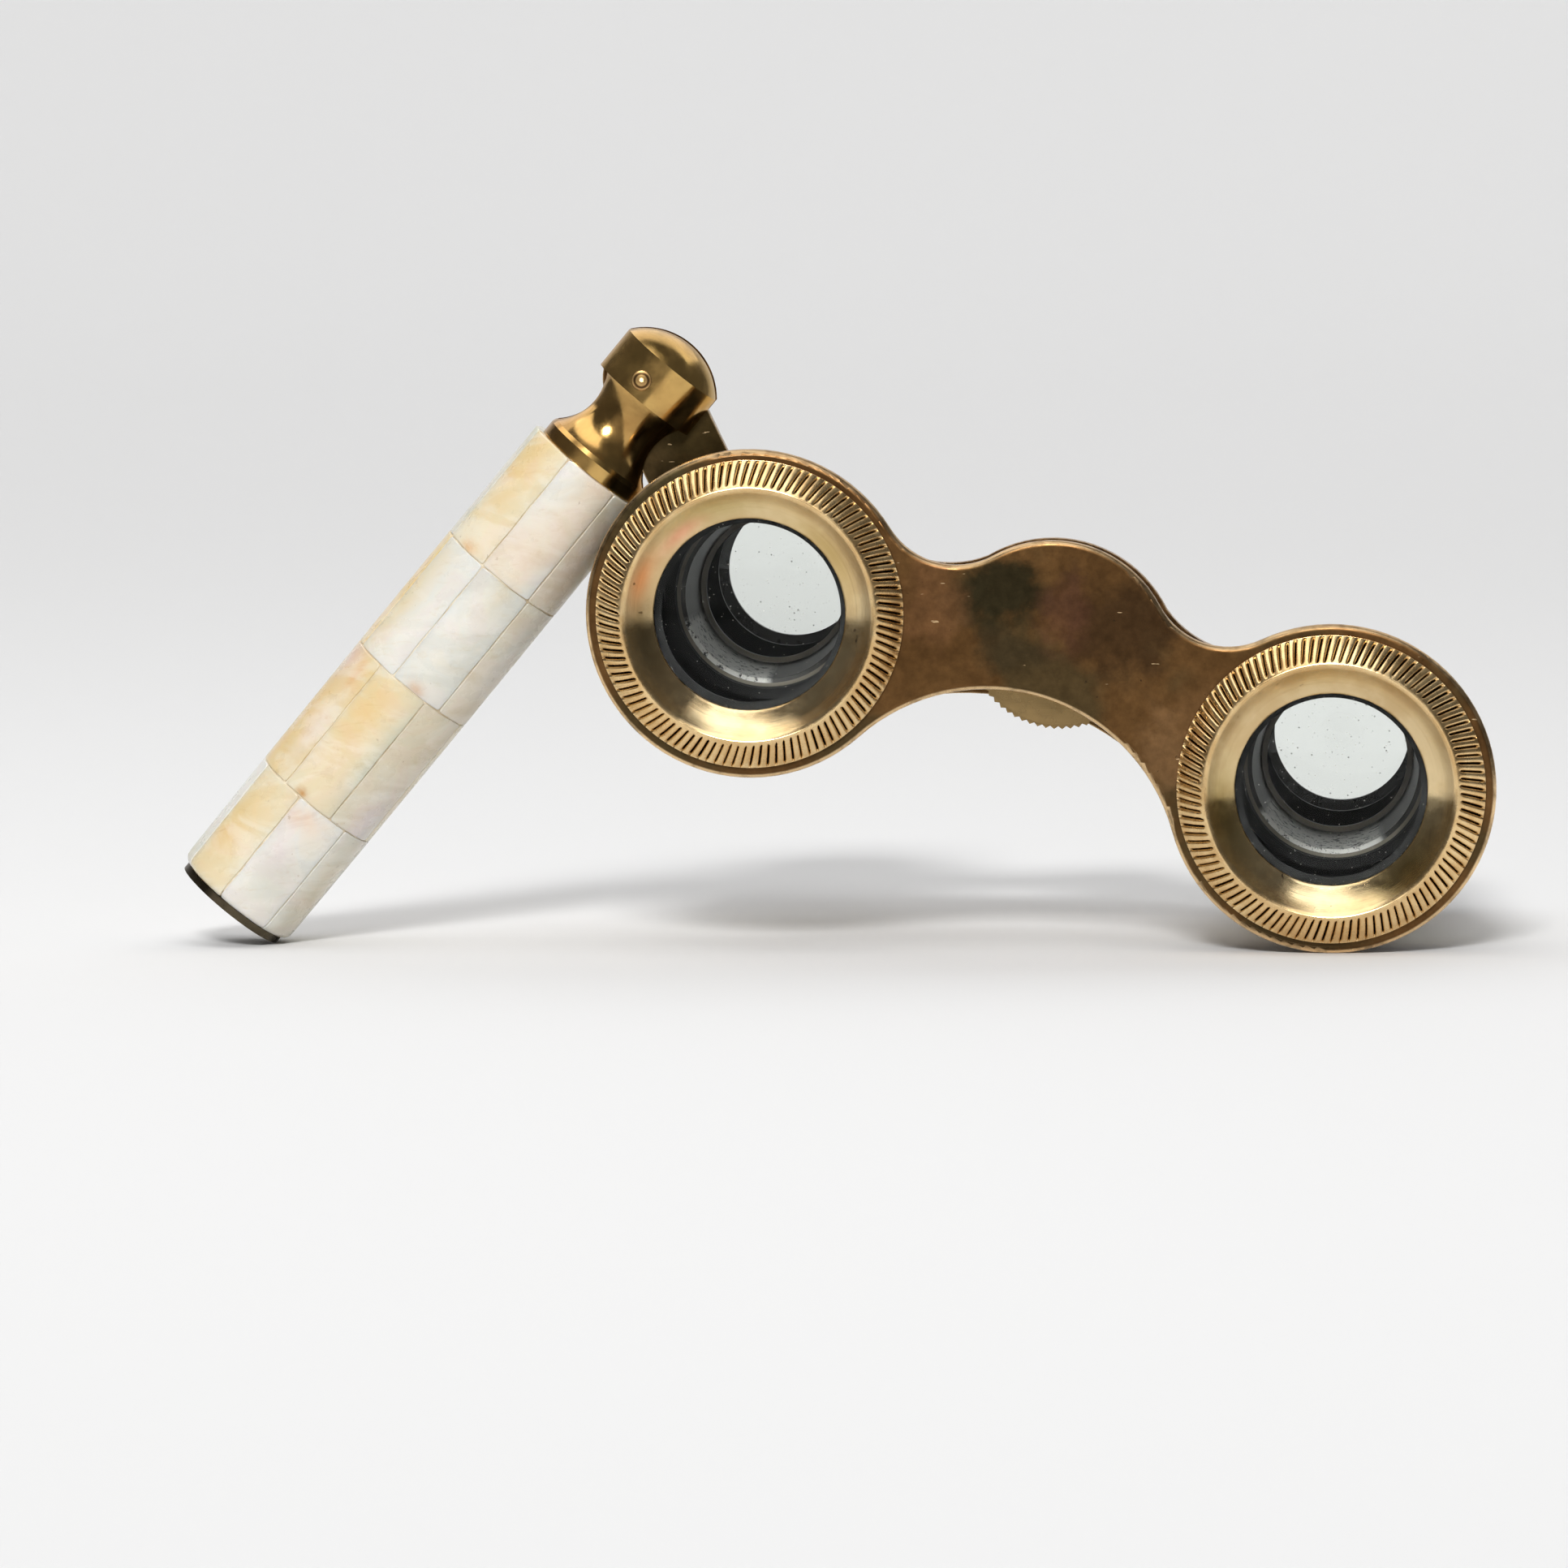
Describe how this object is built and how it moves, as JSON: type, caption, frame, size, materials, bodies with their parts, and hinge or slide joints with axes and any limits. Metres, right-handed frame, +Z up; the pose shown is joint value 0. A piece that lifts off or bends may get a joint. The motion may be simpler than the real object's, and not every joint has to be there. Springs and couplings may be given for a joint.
{
  "type": "opera glasses",
  "caption": "Brass opera glasses with tiled mother-of-pearl, a centre focusing wheel and a folding side handle opened as a prop.",
  "frame": {"origin": "on the ground plane, under the middle of the object's bounding box in its standing pose", "axes": "+Z up, +Y along the optical axes from the objective end to the eyepiece end, +X to the right when the objective end is seen from in front"},
  "size_m": [0.137, 0.0532, 0.0643],
  "materials": {
    "aged_brass": "satin, browned with age",
    "polished_brass": "polished, knurled edge",
    "bright_brass": "polished",
    "blackened_brass": "matt black lacquer",
    "steel": "turned",
    "mother_of_pearl": "polished mother-of-pearl",
    "cement": "matt tan cement",
    "glass": "polished lens"
  },
  "bodies": {
    "frame": {"objective_plate": "aged_brass", "handle_plate": "aged_brass", "eyepiece_plate": "aged_brass", "spindle_bush": "aged_brass", "centre_column": "blackened_brass", "left_bezel": "polished_brass", "left_objective_lens": "glass", "left_objective_retainer": "blackened_brass", "left_barrel": "blackened_brass", "left_barrel_pearl_front": "mother_of_pearl", "left_barrel_pearl_rear": "mother_of_pearl", "left_barrel_cement": "cement", "right_bezel": "polished_brass", "right_objective_lens": "glass", "right_objective_retainer": "blackened_brass", "right_barrel": "blackened_brass", "right_barrel_pearl_front": "mother_of_pearl", "right_barrel_pearl_rear": "mother_of_pearl", "right_barrel_cement": "cement"},
    "focus_drive": {"focus_wheel": "aged_brass", "spindle": "steel", "wheel_pin": "bright_brass"},
    "eyepieces": {"ocular_bridge": "aged_brass", "focus_nut": "blackened_brass", "bridge_screw": "bright_brass", "left_draw_tube": "blackened_brass", "left_light_stop": "blackened_brass", "left_eyecup": "aged_brass", "left_eye_lens": "glass", "left_eye_lens_retainer": "blackened_brass", "right_draw_tube": "blackened_brass", "right_light_stop": "blackened_brass", "right_eyecup": "aged_brass", "right_eye_lens": "glass", "right_eye_lens_retainer": "blackened_brass"},
    "handle": {"hinge_head": "aged_brass", "hinge_pin": "bright_brass", "hinge_washers": "aged_brass", "handle_core": "aged_brass", "pearl_row_1": "mother_of_pearl", "pearl_row_2": "mother_of_pearl", "pearl_row_3": "mother_of_pearl", "pearl_row_4": "mother_of_pearl", "handle_cement": "cement", "end_cap": "aged_brass"}
  },
  "joints": [
    {"name": "focus_turn", "type": "hinge", "parent": "frame", "child": "focus_drive", "pos_m": [0.02348, -0.0188, 0.03256], "axis": [0, 1, 0], "range_deg": [0, 360]},
    {"name": "eyepiece_slide", "type": "slide", "parent": "frame", "child": "eyepieces", "axis": [0, 1, 0], "range_m": [0, 0.008]},
    {"name": "handle_fold", "type": "hinge", "parent": "frame", "child": "handle", "pos_m": [-0.01982, -0.0138, 0.05903], "axis": [0, 1, 0], "range_deg": [-2, 236]}
  ],
  "couplings": [
    {"joint": "focus_turn", "follows": "eyepiece_slide", "rad_per_m": 785.4}
  ]
}
